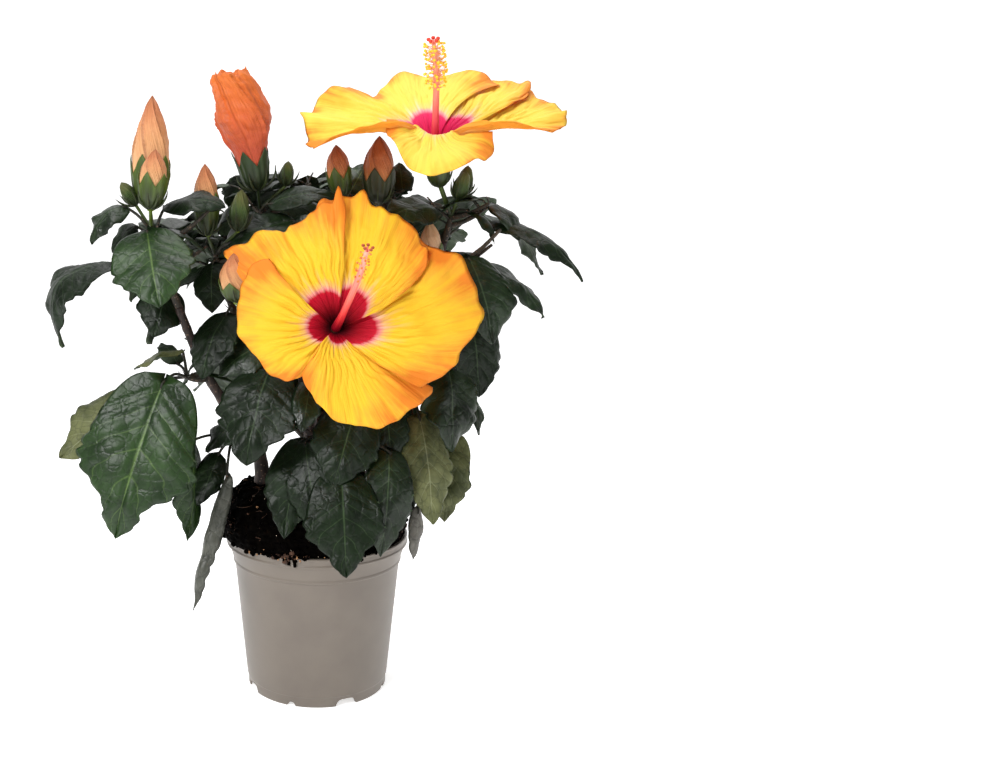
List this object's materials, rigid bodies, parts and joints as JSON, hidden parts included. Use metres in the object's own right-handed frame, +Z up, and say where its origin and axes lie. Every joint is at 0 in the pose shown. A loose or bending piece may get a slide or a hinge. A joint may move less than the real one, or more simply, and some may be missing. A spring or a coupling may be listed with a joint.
{
  "type": "potted hibiscus shrub",
  "caption": "Young hibiscus shrub in a round tapered nursery pot, with wide ruffled blooms, upright buds and drooping toothed leaves.",
  "frame": {"origin": "centre of the pot's flat underside, where it stands", "axes": "+Z up; the showing side, with the large open bloom, faces -Y; +X to the right seen from there"},
  "size_m": [0.3557, 0.2882, 0.4544],
  "materials": {
    "pot_plastic": "satin moulded",
    "peat": "crumbly, damp",
    "bark": "rough young bark",
    "foliage": "glossy waxy leaf",
    "petal_orange": "soft satin petal",
    "petal_lemon": "soft satin petal",
    "bud_petal": "furled satin petal",
    "sepal_green": "matt sepal"
  },
  "bodies": {
    "root": {"pot": "pot_plastic", "trunk": "bark", "stem_left": "bark", "bough_inner": "bark", "bough_centre": "bark", "bough_middle": "bark", "bough_right": "bark", "bough_front": "bark", "bough_back_left": "bark", "bough_back_right": "bark", "bough_back": "bark", "root_ball": "peat", "bloom_front": "petal_orange", "bloom_top": "petal_lemon", "foliage_left_tip": "foliage", "foliage_left_low": "foliage", "foliage_left_foot": "foliage", "foliage_inner": "foliage", "foliage_centre_top": "foliage", "foliage_middle_top": "foliage", "foliage_right_top": "foliage", "foliage_right_side": "foliage", "foliage_right_low": "foliage", "foliage_front": "foliage", "foliage_front_low": "foliage", "foliage_back_left": "foliage", "foliage_back_right": "foliage", "foliage_back_top": "foliage", "foliage_back_low_left": "foliage", "foliage_back_low_right": "foliage", "bud_tall": "bud_petal", "bud_second": "bud_petal", "bud_small": "bud_petal", "bud_green": "sepal_green", "bud_opening": "bud_petal", "bud_red": "bud_petal", "bud_dark": "bud_petal", "bud_behind": "bud_petal", "bud_side": "bud_petal"}
  },
  "joints": []
}
